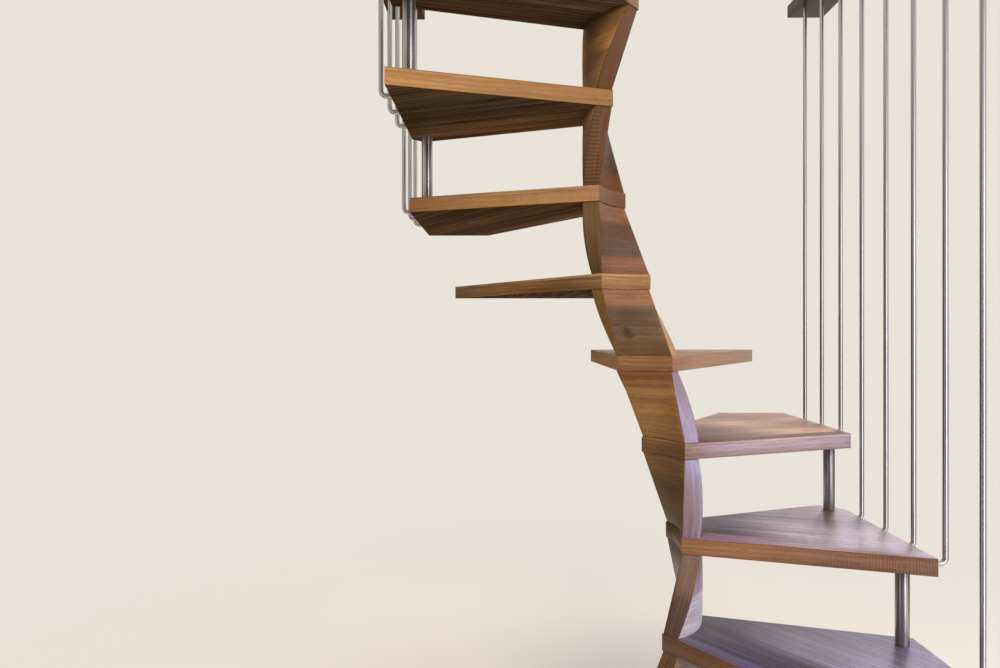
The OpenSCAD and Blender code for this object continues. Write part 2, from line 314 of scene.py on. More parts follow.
def add(tree, kind, inputs=None, ramp=None, **settings):
    """Adds one shader node with its settings, and links or sets its inputs."""
    node = tree.nodes.new("ShaderNode" + kind)
    for key, value in settings.items():
        setattr(node, key, value)
    for key, value in (inputs or {}).items():
        if isinstance(value, bpy.types.Node):
            tree.links.new(value.outputs[0], node.inputs[key])
        elif isinstance(value, bpy.types.NodeSocket):
            tree.links.new(value, node.inputs[key])
        else:
            node.inputs[key].default_value = value
    if ramp:
        elements = node.color_ramp.elements
        elements.remove(elements[1])
        for i, (place, colour) in enumerate(ramp):
            element = elements[0] if i == 0 else elements.new(place)
            element.position = place
            element.color = colour
    return node


def new_material(name):
    """An empty node material and its tree."""
    material = bpy.data.materials.new(name)
    material.use_nodes = True
    material.node_tree.nodes.clear()
    return material, material.node_tree


def walnut(name, layer, finish, form, seam_depth, spread, vary, raw_shaded=False, ticks=False):
    """Walnut, planed, glued in layers and varnished to a satin sheen: brown with darker growth
    streaks, fine open pores, a thin glue line and a ripple across the grain. Raw walnut has
    no varnish, so it is matt; it is also a little darker as painted shade, for it goes on the
    undersides. Ticked walnut is of a curly log: its ripple is coarse and regular, and its
    varnish is thin. The layer is a stave's width or a lamination's thickness, and the depth of
    a seam, the spread of the growth colours and how much the layers vary are shares."""
    material, t = new_material(name)
    grain = add(t, "Attribute", attribute_name="grain").outputs["Vector"]
    stock = add(t, "Attribute", attribute_name="stock")
    knot = add(t, "Attribute", attribute_name="knot").outputs["Vector"]

    # Layers: each stave or lamination is a cell across the grain with its own tone
    axes = add(t, "SeparateXYZ", {0: grain})
    across = add(t, "Math", {0: axes.outputs["Y"], 1: 1 / layer}, operation="MULTIPLY")
    cell = add(t, "TexVoronoi", {"W": across, "Scale": 1.0, "Randomness": 0.3},
               voronoi_dimensions="1D")
    seam = add(t, "TexVoronoi", {"W": across, "Scale": 1.0, "Randomness": 0.3},
               voronoi_dimensions="1D", feature="DISTANCE_TO_EDGE")
    tone = add(t, "SeparateColor", {0: cell.outputs["Color"]})
    shifted = add(t, "VectorMath", {0: cell.outputs["Color"], 1: (4.0, 0.0, 1.7), 2: grain},
                  operation="MULTIPLY_ADD")

    # The growth flows round a knot, up to 30 mm from it, as water does round a stone
    reach = add(t, "VectorMath", {0: knot}, operation="LENGTH").outputs["Value"]
    near = add(t, "MapRange", {"Value": reach, "From Min": 0.004, "From Max": 0.030,
                               "To Min": 1.0, "To Max": 0.0}, interpolation_type="SMOOTHSTEP")
    part = add(t, "VectorMath", {0: knot, "Scale": near}, operation="SCALE")
    parted = add(t, "VectorMath", {0: shifted, 1: part}, operation="SUBTRACT")

    # Growth streaks, 16 mm apart across the grain and finer ones between, 0.7 m long, which
    # wander up to 30 mm over a tenth of a metre, with faint rings 12 mm apart
    slow = add(t, "VectorMath", {0: parted, 1: (2.2, 9.0, 9.0)}, operation="MULTIPLY")
    wander = add(t, "TexNoise", {"Vector": slow, "Scale": 1.0, "Detail": 2.0})
    bent = add(t, "VectorMath", {0: wander.outputs["Color"], 1: (0.0, 0.030, 0.030), 2: parted},
               operation="MULTIPLY_ADD")
    long = add(t, "VectorMath", {0: bent, 1: (1.5, 62.0, 62.0)}, operation="MULTIPLY")
    streak = add(t, "TexNoise", {"Vector": long, "Scale": 1.0, "Detail": 6.0, "Roughness": 0.6})
    flat = add(t, "VectorMath", {0: bent, 1: (0.25, 1.0, 1.0)}, operation="MULTIPLY")
    ring = add(t, "TexWave", {"Vector": flat, "Scale": 26.0, "Distortion": 7.0, "Detail": 3.0,
                              "Detail Scale": 0.6}, bands_direction="Y")
    growth = add(t, "Mix", {0: 0.12, 2: streak, 3: ring.outputs["Fac"]})
    colour = add(t, "ValToRGB", {0: growth}, ramp=[
        (0.5 - spread, finish.wood_dark), (0.50, finish.wood_mid),
        (0.5 + spread, finish.wood_light)])

    # Tone of the layer, clouds of colour a tenth of a metre broad and the stock's own tint
    bright = add(t, "MapRange", {"Value": tone.outputs["Red"], "To Min": 1 - vary,
                                 "To Max": 1 + vary})
    broad = add(t, "VectorMath", {0: parted, 1: (3.0, 10.0, 10.0)}, operation="MULTIPLY")
    cloud = add(t, "TexNoise", {"Vector": broad, "Scale": 1.0, "Detail": 2.0})
    clouded = add(t, "MapRange", {"Value": cloud, "From Min": 0.3, "From Max": 0.7,
                                  "To Min": 0.84, "To Max": 1.16})
    level = add(t, "Math", {0: bright, 1: clouded}, operation="MULTIPLY")
    warm = add(t, "Mix", {0: tone.outputs["Green"], 6: (1.07, 0.97, 0.90, 1.0),
                          7: (0.95, 1.0, 1.03, 1.0)}, data_type="RGBA")
    tint = add(t, "Mix", {0: 1.0, 6: warm.outputs[2], 7: stock.outputs["Color"]},
               data_type="RGBA", blend_type="MULTIPLY")
    tinted = add(t, "Mix", {0: 1.0, 6: colour, 7: tint.outputs[2]},
                 data_type="RGBA", blend_type="MULTIPLY")

    # Fibres and pores. Real ones are 0.2 mm wide; they are drawn at 1.2 and 1.6 mm to show
    fine = add(t, "VectorMath", {0: parted, 1: (16.0, 800.0, 800.0)}, operation="MULTIPLY")
    fibre = add(t, "TexNoise", {"Vector": fine, "Scale": 1.0, "Detail": 2.0})
    swing = 0.22 if raw_shaded else 0.07
    fibres = add(t, "MapRange", {"Value": fibre, "From Min": 0.3, "From Max": 0.7,
                                 "To Min": 1 - swing, "To Max": 1 + swing})
    dashes = add(t, "VectorMath", {0: parted, 1: (42.0, 620.0, 620.0)}, operation="MULTIPLY")
    dash = add(t, "TexNoise", {"Vector": dashes, "Scale": 1.0, "Detail": 0.0})
    pore = add(t, "MapRange", {"Value": dash, "From Min": 0.66, "From Max": 0.76})

    # Ripple figure: light and dark bars across the grain, in patches of about 70 by 200 mm
    # where the fibres wave
    bars = add(t, "VectorMath", {0: parted, 1: (1.0, 0.3, 0.3)}, operation="MULTIPLY")
    pitch, unrest = (form.tick, 2.5) if ticks else (form.ripple, 7.0)
    bar = add(t, "TexWave", {"Vector": bars, "Scale": math.pi / 10 / pitch,
                             "Distortion": unrest, "Detail": 3.0, "Detail Scale": 1.3},
              bands_direction="X")
    patch = add(t, "VectorMath", {0: parted, 1: (5.0, 14.0, 14.0)}, operation="MULTIPLY")
    where = add(t, "TexNoise", {"Vector": patch, "Scale": 1.0, "Detail": 1.0})
    onset = 0.1 if ticks else 0.38
    patchy = add(t, "MapRange", {"Value": where, "From Min": onset, "From Max": onset + 0.24})
    share = add(t, "Math", {0: patchy, 1: stock.outputs["Alpha"]}, operation="MULTIPLY")
    centred = add(t, "Math", {0: bar.outputs["Fac"], 1: 0.5}, operation="SUBTRACT")
    figure = add(t, "Math", {0: centred, 1: share}, operation="MULTIPLY")
    rippled = add(t, "Math", {0: figure, 1: 0.34, 2: 1.0}, operation="MULTIPLY_ADD")

    # Glue line, which is 0.2 mm wide and drawn at 1.4 mm to show, and the dark heart of a
    # knot, 19 mm in radius, with rings 7 mm apart
    glue = add(t, "MapRange", {"Value": seam.outputs["Distance"], "From Min": 0.0003 / layer,
                               "From Max": 0.0011 / layer, "To Min": 1 - seam_depth,
                               "To Max": 1.0})
    turns = add(t, "Math", {0: reach, 1: 900.0}, operation="MULTIPLY")
    turn = add(t, "Math", {0: turns}, operation="SINE")
    eye = add(t, "MapRange", {"Value": reach, "From Min": 0.002, "From Max": 0.019,
                              "To Min": 0.62, "To Max": 0.0}, interpolation_type="SMOOTHSTEP")
    rings = add(t, "Math", {0: turn, 1: 0.22, 2: 0.85}, operation="MULTIPLY_ADD")
    dark = add(t, "Math", {0: eye, 1: rings}, operation="MULTIPLY")
    heart = add(t, "Math", {0: 1.0, 1: dark}, operation="SUBTRACT")

    pored = add(t, "Math", {0: pore, 1: -0.30, 2: 1.0}, operation="MULTIPLY_ADD")
    factors = [fibres, rippled, glue, heart, pored]
    # The raw walnut of the undersides is darkened by a fifth: painted shade
    if raw_shaded:
        factors.append(0.80)
    shade = level
    for factor in factors:
        shade = add(t, "Math", {0: shade, 1: factor}, operation="MULTIPLY")
    base = add(t, "VectorMath", {0: tinted.outputs[2], "Scale": shade}, operation="SCALE")

    # Satin varnish: a little duller in the pores and on the soft early growth
    smooth, soft = (0.80, 0.90) if raw_shaded else (0.38, 0.48)
    gloss = add(t, "MapRange", {"Value": growth, "From Min": 0.3, "From Max": 0.7,
                                "To Min": smooth, "To Max": soft})
    rough = add(t, "Math", {0: pore, 1: 0.18, 2: gloss}, operation="MULTIPLY_ADD")
    relief = add(t, "Math", {0: figure, 1: 0.9, 2: fibre}, operation="MULTIPLY_ADD")
    height = add(t, "Math", {0: pore, 1: -0.8, 2: relief}, operation="MULTIPLY_ADD")
    bump = add(t, "Bump", {"Strength": 0.35, "Distance": 0.0004, "Height": height})
    sheen, coat = (0.15, 0.0) if raw_shaded or ticks else (0.5, 0.2)
    shader = add(t, "BsdfPrincipled", {
        "Base Color": base, "Roughness": rough, "Normal": bump, "IOR": 1.5,
        "Specular IOR Level": sheen, "Coat Weight": coat, "Coat Roughness": 0.24,
        "Coat Normal": bump})
    add(t, "OutputMaterial", {"Surface": shader})
    return material


def stained_board(name, finish):
    """Hardwood under a dark brown stain and matt lacquer: the grain, in streaks 11 mm apart,
    shows only faintly."""
    material, t = new_material(name)
    grain = add(t, "Attribute", attribute_name="grain").outputs["Vector"]
    long = add(t, "VectorMath", {0: grain, 1: (2.0, 90.0, 90.0)}, operation="MULTIPLY")
    streak = add(t, "TexNoise", {"Vector": long, "Scale": 1.0, "Detail": 5.0})
    shade = add(t, "MapRange", {"Value": streak, "From Min": 0.3, "From Max": 0.7,
                                "To Min": 0.7, "To Max": 1.3})
    base = add(t, "VectorMath", {0: tuple(finish.rim)[:3], "Scale": shade}, operation="SCALE")
    rough = add(t, "MapRange", {"Value": streak, "To Min": 0.42, "To Max": 0.58})
    bump = add(t, "Bump", {"Strength": 0.25, "Distance": 0.0003, "Height": streak})
    shader = add(t, "BsdfPrincipled", {"Base Color": base, "Roughness": rough, "Normal": bump})
    add(t, "OutputMaterial", {"Surface": shader})
    return material


def stainless(name, finish, dull, lines, drawn=0.0):
    """Stainless steel, drawn and polished: the fine rings that polishing leaves round a bar
    stretch its reflections upright, and a faint haze of handling breaks them. Lines is how
    many of them there are to a metre each way, and drawn how much they stretch it."""
    material, t = new_material(name)
    place = add(t, "TexCoord").outputs["Object"]
    # Polishing lines of about 0.4 mm, drawn at 2.4 mm to show
    fine = add(t, "VectorMath", {0: place, 1: lines}, operation="MULTIPLY")
    line = add(t, "TexNoise", {"Vector": fine, "Scale": 1.0, "Detail": 3.0})
    handled = add(t, "TexNoise", {"Vector": place, "Scale": 9.0, "Detail": 2.0})
    mixed = add(t, "Mix", {0: 0.4, 2: line, 3: handled})
    rough = add(t, "MapRange", {"Value": mixed, "From Min": 0.3, "From Max": 0.7,
                                "To Min": dull * 0.85, "To Max": dull * 1.2})
    shade = add(t, "MapRange", {"Value": mixed, "From Min": 0.3, "From Max": 0.7,
                                "To Min": 0.9, "To Max": 1.06})
    base = add(t, "VectorMath", {0: tuple(finish.steel)[:3], "Scale": shade}, operation="SCALE")
    bump = add(t, "Bump", {"Strength": 0.05, "Distance": 0.0002, "Height": line})
    shader = add(t, "BsdfPrincipled", {"Base Color": base, "Roughness": rough, "Normal": bump,
                                       "Metallic": 1.0, "Anisotropic": drawn})
    if drawn:
        upright = add(t, "CombineXYZ", {"Z": 1.0})
        t.links.new(upright.outputs[0], shader.inputs["Tangent"])
    add(t, "OutputMaterial", {"Surface": shader})
    return material


def cad_copy(node):
    """A welded copy of a node's mesh, with its flat faces whole."""
    mesh = bmesh.new()
    mesh.from_mesh(frame["nodes"][node].data)
    bmesh.ops.remove_doubles(mesh, verts=mesh.verts, dist=TOUCH)
    bmesh.ops.dissolve_limit(mesh, angle_limit=ONE_FACE, verts=mesh.verts, edges=mesh.edges)
    mesh.normal_update()
    return mesh


def finish_piece(name, mesh, material, slot, *nodes, smooth=35.0):
    """Makes the object of a bmesh, gives it its material, and has it stand for its nodes."""
    data = bpy.data.meshes.new(name)
    bmesh.ops.recalc_face_normals(mesh, faces=mesh.faces)
    mesh.to_mesh(data)
    mesh.free()
    data.materials.append(material)
    data.polygons.foreach_set("use_smooth", [True] * len(data.polygons))
    data.set_sharp_from_angle(angle=math.radians(smooth))
    piece = bpy.data.objects.new(name, data)
    bpy.context.scene.collection.objects.link(piece)
    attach(piece, BODY)
    if nodes:
        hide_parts(*nodes)
    return piece


def write_grain(piece, place, stock, knot=None):
    """Stores where each face corner lies in its board: along the grain, across it and through
    it, the board's stock, and how far it is from the board's knot."""
    data = piece.data
    grain, stocks, knots = [], [], []
    for face in data.polygons:
        for index in face.vertices:
            point = data.vertices[index].co
            grain += place(index, point, face.normal)
            stocks += stock(index, face)
            knots += knot(index) if knot else NO_KNOT
    for name, kind, key, values in (("grain", "FLOAT_VECTOR", "vector", grain),
                                    ("stock", "FLOAT_COLOR", "color", stocks),
                                    ("knot", "FLOAT_VECTOR", "vector", knots)):
        data.attributes.new(name, kind, "CORNER").data.foreach_set(key, values)


def ease_edges(mesh, width):
    """Eases the long sharp edges of a board, and leaves the rims of its holes."""
    long = 3 * width
    edges = [e for e in mesh.edges
             if e.is_manifold and e.calc_length() > long and e.calc_face_angle(0.0) > SHARP_EDGE]
    bmesh.ops.bevel(mesh, geom=edges, offset=width, segments=2, profile=0.5,
                    affect="EDGES", clamp_overlap=True)


def cut_across(mesh, place, facing):
    """Cuts the faces of a board along a plane, so that its stock can change there."""
    parts = mesh.verts[:] + mesh.edges[:] + mesh.faces[:]
    bmesh.ops.bisect_plane(mesh, geom=parts, plane_co=place, plane_no=facing)


class STAIR_OT_treads(bpy.types.Operator):
    """Make the treads and the landing from walnut staves that run along the nosing"""

    bl_idname = "stair.treads"
    bl_label = "Treads"

    def execute(self, context):
        form, finish = context.scene.stair_form, context.scene.stair_finish
        wood = walnut("walnut_staves", form.stave, finish, form,
                      seam_depth=0.45, spread=0.38, vary=0.25)
        flat = walnut("walnut_tops", form.stave, finish, form,
                      seam_depth=0.45, spread=0.20, vary=0.42)
        # Raw walnut for the undersides: matt, and darker as painted shade
        raw_shaded = walnut("walnut_raw_shaded", form.stave, finish, form,
                     seam_depth=0.45, spread=0.12, vary=0.45, raw_shaded=True)
        for number, node in enumerate(TREADS, 1):
            mesh = cad_copy(node)
            ease_edges(mesh, form.arris)
            angle = form.first_angle + (number - 1) * form.step_angle
            middle_line = Vector((math.cos(angle), math.sin(angle), 0.0))
            front_edge = Matrix.Rotation(-form.half_angle, 3, "Z") @ middle_line
            front = Vector((front_edge.y, -front_edge.x, 0.0))
            for reach in TOP_CUTS:
                cut_across(mesh, middle_line * reach, middle_line)
            strip = math.inf
            if number in STRIP_STOCK:
                strip_names, strip_width = STRIP_STOCK[number]
                strip = max(v.co.dot(front) for v in mesh.verts) - strip_width
                cut_across(mesh, front * strip, front)
            piece = finish_piece(f"board_{node}", mesh, wood, "tread_walnut", node)
            turn = Matrix.Rotation(form.half_angle - angle, 3, "Z")
            low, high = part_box(node)
            middle = (low.z + high.z) / 2
            offset = Vector((TOP_SHIFT[0] * number,
                             TREAD_SHIFT.get(number, TOP_SHIFT[1] * number), -high.z))

            def place(index, point, normal):
                if abs(normal.z) > TURNED:
                    return tuple(turn @ point + offset)
                along = Vector((-normal.y, normal.x, 0.0)).normalized()
                out = Vector((normal.x, normal.y, 0.0)).normalized()
                # The long edges show the middle of one stave
                return (point.dot(along) + EDGE_SHIFT[0] * number,
                        point.z - middle + form.stave * (0.5 + EDGE_SHIFT[1] * number),
                        point.dot(out))

            def stock(index, face):
                reach = piece.data.vertices[index].co.xy.length / TREAD_REACH
                # The tops of treads 2 to 4 take tints that hold painted daylight, sheen and
                # shadow
                if number in TOP_STOCK and face.normal.z > TURNED:
                    if face.center.dot(front) > strip:
                        return stock_at(strip_names, reach)
                    return stock_at(TOP_STOCK[number], reach)
                if face.normal.z < -TURNED:
                    return STOCK[UNDER_STOCK]
                if number in NOSE_STOCK and face.normal.dot(middle_line) < -TURNED:
                    return STOCK[NOSE_STOCK[number]]
                if number in BACK_STOCK and face.normal.dot(front) < 0.0:
                    return STOCK[BACK_STOCK[number]]
                return stock_at(EDGE_STOCK[number], reach)

            write_grain(piece, place, stock)
            piece.data.materials.append(raw_shaded)
            piece.data.materials.append(flat)
            for face in piece.data.polygons:
                if face.normal.z < -LEVEL:
                    face.material_index = 1
                elif face.normal.z > LEVEL:
                    face.material_index = 2
                else:
                    face.material_index = 0
        return {"FINISHED"}


def end_rings(node):
    """The foot and head outlines of a twisted block, point for point, and its turn."""
    low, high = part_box(node)
    mesh = cad_copy(node)
    rings = []
    for z in (low.z, high.z):
        points = [v.co.copy() for v in mesh.verts if abs(v.co.z - z) < TOUCH]
        centre = sum(points, Vector()) / len(points)
        points.sort(key=lambda p: math.atan2(p.y - centre.y, p.x - centre.x))
        rings.append((points, centre))
    mesh.free()
    (foot, foot_centre), (head, head_centre) = rings
    turn = foot_centre.xy.angle_signed(head_centre.xy)
    swing = Matrix.Rotation(-turn, 3, "Z")
    matched = []
    for p in foot:
        aim = swing @ p
        matched.append(min(head, key=lambda q: (q.xy - aim.xy).length))
    return foot, matched, math.atan2(foot_centre.y, foot_centre.x), -turn


def round_corners(ring, radius):
    """Rounds the four sharp corners of a block's outline with three points each."""
    rounded = []
    # The middle point lies on the arc when it is this far in from both sides
    inset = 0.28 * radius
    for i, p in enumerate(ring):
        back = (ring[i - 1] - p).normalized()
        ahead = (ring[(i + 1) % len(ring)] - p).normalized()
        if math.pi - back.angle(ahead) < SHARP_CORNER:
            rounded.append(p)
            continue
        rounded += [p + back * radius, p + (back + ahead) * inset, p + ahead * radius]
    return rounded


def fill_sides(ring, parts):
    """Divides the long flat sides of an outline, so that the stock can change along them."""
    filled = []
    for p, q in zip(ring, ring[1:] + ring[:1]):
        steps = parts if (q - p).length > FLAT_SIDE else 1
        filled += [p.lerp(q, k / steps) for k in range(steps)]
    return filled


def swell_shares(ring, back):
    """How much of the swell each point of an outline takes: none on the side of the well, all
    on the outward face, and evenly more along the two flat sides between them."""
    corner, slack = 0.003, 0.001
    local = [back @ p for p in ring]
    widest = max(local, key=lambda p: abs(p.y))
    inner = min(p.x for p in local)
    inner_half = max(abs(p.y) for p in local if p.x < inner + corner)
    shares = []
    for p in local:
        hollow = abs(p.y) < inner_half - slack and p.x < widest.x
        shares.append(0.0 if hollow else min((p.x - inner) / (widest.x - inner), 1.0))
    return [share / widest.x for share in shares]


def stock_at(names, share):
    """The stock at a share of the way along a piece, where each one runs into the next over
    the middle third of the way between their middles."""
    # Spot counts middles, and stays just short of the last, so that there is always a next
    spot = min(max(share * len(names) - 0.5, 0.0), len(names) - 1.001)
    blend = min(max((spot % 1 - 0.5) * 3 + 0.5, 0.0), 1.0)
    one, two = STOCK[names[int(spot)]], STOCK[names[int(spot) + 1]]
    return [a + (b - a) * blend for a, b in zip(one, two)]


def outward(ring):
    """The outward direction at each point of an outline that runs anticlockwise."""
    found = []
    for i in range(len(ring)):
        along = (ring[(i + 1) % len(ring)] - ring[i - 1]).normalized()
        found.append(Vector((along.y, -along.x, 0.0)))
    return found


def join_rings(mesh, rings, closed=False):
    """Joins each ring of points to the next with faces, and then the last to the first where
    they are closed, or else caps both ends."""
    for low, high in zip(rings, rings[1:] + rings[:1] if closed else rings[1:]):
        for k in range(len(low)):
            m = (k + 1) % len(low)
            mesh.faces.new((low[k], low[m], high[m], high[k]))
    if not closed:
        mesh.faces.new(rings[0][::-1])
        mesh.faces.new(rings[-1])


class STAIR_OT_spine(bpy.types.Operator):
    """Make the twisted blocks of the open well, with ruled faces and eased joints"""

    bl_idname = "stair.spine"
    bl_label = "Spine blocks"

    def execute(self, context):
        form, finish = context.scene.stair_form, context.scene.stair_finish
        wood = walnut("walnut_laminations", form.lamination, finish, form,
                      seam_depth=0.25, spread=0.60, vary=0.12)
        ticked = walnut("walnut_ticked", form.lamination, finish, form,
                        seam_depth=0.25, spread=0.60, vary=0.12, ticks=True)
        layers, side_parts, corner = 28, 8, 0.002
        for number, node in enumerate(BLOCKS, 1):
            foot, head, start, turn = end_rings(node)
            foot, head = (
                fill_sides(round_corners(ring, corner), side_parts) for ring in (foot, head))
            rise = head[0].z - foot[0].z
            ease = form.arris / rise
            shares = [ease + (1 - 2 * ease) * k / layers for k in range(layers + 1)]
            shares = [0.0, *shares, 1.0]
            swells = swell_shares(foot, Matrix.Rotation(-start, 3, "Z"))
            mesh = bmesh.new()
            rows, places, stocks = [], [], []
            for k, share in enumerate(shares):
                ring = [a.lerp(b, share) for a, b in zip(foot, head)]
                bow = 4 * share * (1 - share) * form.swell
                ring = [Vector((p.x * (1 + bow * w), p.y * (1 + bow * w), p.z))
                        for p, w in zip(ring, swells)]
                if k in (0, len(shares) - 1):
                    ring = [p - n * form.arris for p, n in zip(ring, outward(ring))]
                rows.append([mesh.verts.new(p) for p in ring])
                angle = start + turn * share
                back = Matrix.Rotation(-angle, 3, "Z")
                for p in ring:
                    places.append((back @ p, share * rise, back))
                    stocks.append((stock_at(BLOCK_STOCK[number], share),
                                   stock_at(SIDE_STOCK.get(number, OTHER_SIDES), share)))
            join_rings(mesh, rows)
            look = ticked if number in UPRIGHT_SEAM else wood
            piece = finish_piece(f"block_{number:02d}", mesh, look, "spine_walnut", node)
            side, up = KNOTS.get(number, NO_KNOT[:2])
            onward, upward = (shift * number for shift in BLOCK_SHIFT)

            def place(index, point, normal):
                local, height, back = places[index]
                facing = back @ normal
                if abs(facing.y) > abs(facing.x):
                    return height + onward, local.x + upward, local.y
                return local.y + onward, height + upward, local.x

            def stock(index, face):
                facing = places[index][2] @ face.normal
                if abs(facing.y) <= abs(facing.x):
                    # Block 8's outward face is lightened as painted light
                    if number in OUTWARD_STOCK and facing.x > 0.0:
                        return STOCK[OUTWARD_STOCK[number]]
                    return stocks[index][0]
                if number in UPRIGHT_SEAM:
                    across, reach, beyond = UPRIGHT_SEAM[number]
                    if piece.data.vertices[index].co.dot(across) > reach:
                        return STOCK[beyond]
                return stocks[index][1]

            write_grain(piece, place, stock,
                        lambda index: (places[index][0].y - side, places[index][1] - up, 0.0))
        return {"FINISHED"}


def lathe(mesh, centre, profile, segments, closed=True):
    """Turns a profile of radius and height pairs round an upright line. A closed profile comes
    back to its first pair, as a tube's does, and an open one gets a cap at each end."""
    rows = []
    for radius, z in profile:
        rows.append([
            mesh.verts.new((
                centre[0] + radius * math.cos(2 * math.pi * k / segments),
                centre[1] + radius * math.sin(2 * math.pi * k / segments), z))
            for k in range(segments)])
    join_rings(mesh, rows, closed)


def tube_profile(outer, inner, z0, z1, ease):
    """A tube's wall with eased ends, as radius and height pairs."""
    return [
        (inner, z0 + ease), (inner + ease, z0), (outer - ease, z0), (outer, z0 + ease),
        (outer, z1 - ease), (outer - ease, z1), (inner + ease, z1), (inner, z1 - ease)]


class STAIR_OT_posts(bpy.types.Operator):
    """Make the polished steel tubes between the outer ends of the treads"""

    bl_idname = "stair.posts"
    bl_label = "Tube posts"

    def execute(self, context):
        form, finish = context.scene.stair_form, context.scene.stair_finish
        steel = stainless("stainless_polished", finish, dull=0.40, lines=(5.0, 5.0, 420.0),
                          drawn=0.92)
        outer, inner, ease = form.tube / 2, form.tube / 2 - form.tube_wall, 0.0005
        for node in POSTS:
            low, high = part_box(node)
            centre = (low + high) / 2
            mesh = bmesh.new()
            profile = tube_profile(outer, inner, low.z, high.z, ease)
            if node == "post_01":
                rim = (high.x - low.x) / 2
                top = low.z + form.foot
                weld = 0.002
                profile = [
                    (inner, low.z), (rim - ease, low.z), (rim, low.z + ease),
                    (rim, top - 2 * ease), (rim - 2 * ease, top), (outer + weld, top),
                    (outer + weld * 0.3, top + weld * 0.3), (outer, top + weld),
                    (outer, high.z - ease), (outer - ease, high.z), (inner + ease, high.z),
                    (inner, high.z - ease)]
            lathe(mesh, centre, profile, segments=64)
            finish_piece(f"tube_{node}", mesh, steel, "post_steel", node, smooth=50.0)
        return {"FINISHED"}


def loose_parts(node):
    """The boxes of the separate solids in one node."""
    mesh = cad_copy(node)
    left, boxes = set(mesh.verts), []
    while left:
        queue = [left.pop()]
        part = []
        while queue:
            v = queue.pop()
            part.append(v.co.copy())
            for e in v.link_edges:
                w = e.other_vert(v)
                if w in left:
                    left.remove(w)
                    queue.append(w)
        boxes.append((
            Vector([min(p[i] for p in part) for i in range(3)]),
            Vector([max(p[i] for p in part) for i in range(3)])))
    mesh.free()
    return sorted(boxes, key=lambda b: -b[0].y)


def sweep(mesh, path, radius, segments):
    """Sweeps a round bar along a path in an upright plane, with eased ends."""
    ease = radius * 0.08
    first, last = (path[1] - path[0]).normalized(), (path[-1] - path[-2]).normalized()
    stations = [(path[0], radius - ease), (path[0] + first * ease, radius)]
    stations += [(p, radius) for p in path[1:-1]]
    stations += [(path[-1] - last * ease, radius), (path[-1], radius - ease)]
    points = [s[0] for s in stations]
    side = Vector((0.0, 1.0, 0.0))
    rows = []
    for i, (p, r) in enumerate(stations):
        along = (points[min(i + 1, len(points) - 1)] - points[max(i - 1, 0)]).normalized()
        up = along.cross(side).normalized()
        rows.append([
            mesh.verts.new(p + side * r * math.cos(a) + up * r * math.sin(a))
            for a in (2 * math.pi * k / segments for k in range(segments))])
    join_rings(mesh, rows)


class STAIR_OT_rods(bpy.types.Operator):
    """Make the hanging rods, bent in at the foot and let into the side of their tread"""

    bl_idname = "stair.rods"
    bl_label = "Hanging rods"

    def execute(self, context):
        form, finish = context.scene.stair_form, context.scene.stair_finish
        steel = stainless("stainless_rod", finish, dull=0.34, lines=(6.0, 6.0, 420.0),
                          drawn=0.7)
        for node in ROD_SETS:
            mesh = bmesh.new()
            for low, high in loose_parts(node):
                radius = (high.y - low.y) / 2
                side = 1 if high.x > 0 else -1
                out = max(abs(low.x), abs(high.x)) - radius
                inner = min(abs(low.x), abs(high.x))
                y, foot = (low.y + high.y) / 2, low.z + radius
                path = [Vector((side * out, y, high.z))]
                steps = 12
                for k in range(steps + 1):
                    a = math.pi / 2 * k / steps
                    path.append(Vector((
                        side * (out - form.bend * (1 - math.cos(a))), y,
                        foot + form.bend * (1 - math.sin(a)))))
                path.append(Vector((side * inner, y, foot)))
                sweep(mesh, path, radius, segments=32)
            finish_piece(f"bars_{node}", mesh, steel, "rod_steel", node, smooth=50.0)
        return {"FINISHED"}


class STAIR_OT_rims(bpy.types.Operator):
    """Make the dark stained boards that the hanging rods reach up to"""

    bl_idname = "stair.rims"
    bl_label = "Rim boards"

    def execute(self, context):
        form, finish = context.scene.stair_form, context.scene.stair_finish
        wood = stained_board("stained_hardwood", finish)
        for number, node in enumerate(RIMS):
            mesh = cad_copy(node)
            ease_edges(mesh, 2 * form.arris)
            piece = finish_piece(f"edge_{node}", mesh, wood, "rim_wood", node)

            def place(index, point, normal):
                return point.y + RIM_SHIFT * number, point.x, point.z

            write_grain(piece, place, lambda index, face: STOCK["plain"])
        return {"FINISHED"}


class STAIR_OT_base(bpy.types.Operator):
    """Brush the base plate and set its six floor bolts with washers"""

    bl_idname = "stair.base"
    bl_label = "Base plate and bolts"

    def execute(self, context):
        form, finish = context.scene.stair_form, context.scene.stair_finish
        plate = stainless("stainless_brushed", finish, dull=0.30, lines=(6.0, 420.0, 420.0))
        node = frame["nodes"]["base_plate"]
        node.data.materials.clear()
        node.data.materials.append(plate)
        zinc = stainless("bright_zinc", finish, dull=0.26, lines=(60.0, 60.0, 60.0))
        plate_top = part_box("base_plate")[1].z
        hole, rim, edge, thick, ease = 0.0066, 0.0115, 0.012, 0.0025, 0.0004
        washer_top = plate_top + thick
        washer = [(hole, plate_top), (rim, plate_top), (edge, plate_top + ease),
                  (edge, washer_top - ease), (rim, washer_top), (hole, washer_top)]
        # The six-sided head has a small collar below and a chamfer above
        bolt_head = [
            (0.0103, washer_top), (0.0109, washer_top + 0.0006), (0.0109, washer_top + 0.0066),
            (0.0094, washer_top + 0.0075)]
        mesh = bmesh.new()
        for k in range(6):
            a = math.radians(30 + 60 * k)
            centre = (form.bolt_circle / 2 * math.cos(a), form.bolt_circle / 2 * math.sin(a))
            lathe(mesh, centre, washer, segments=40)
            lathe(mesh, centre, bolt_head, segments=6, closed=False)
        finish_piece("floor_bolts", mesh, zinc, "base_steel", smooth=25.0)
        return {"FINISHED"}


def look_at(thing, target):
    """Turns a lamp so that it points at a place."""
    thing.rotation_euler = (Vector(target) - thing.location).to_track_quat("-Z", "Y").to_euler()


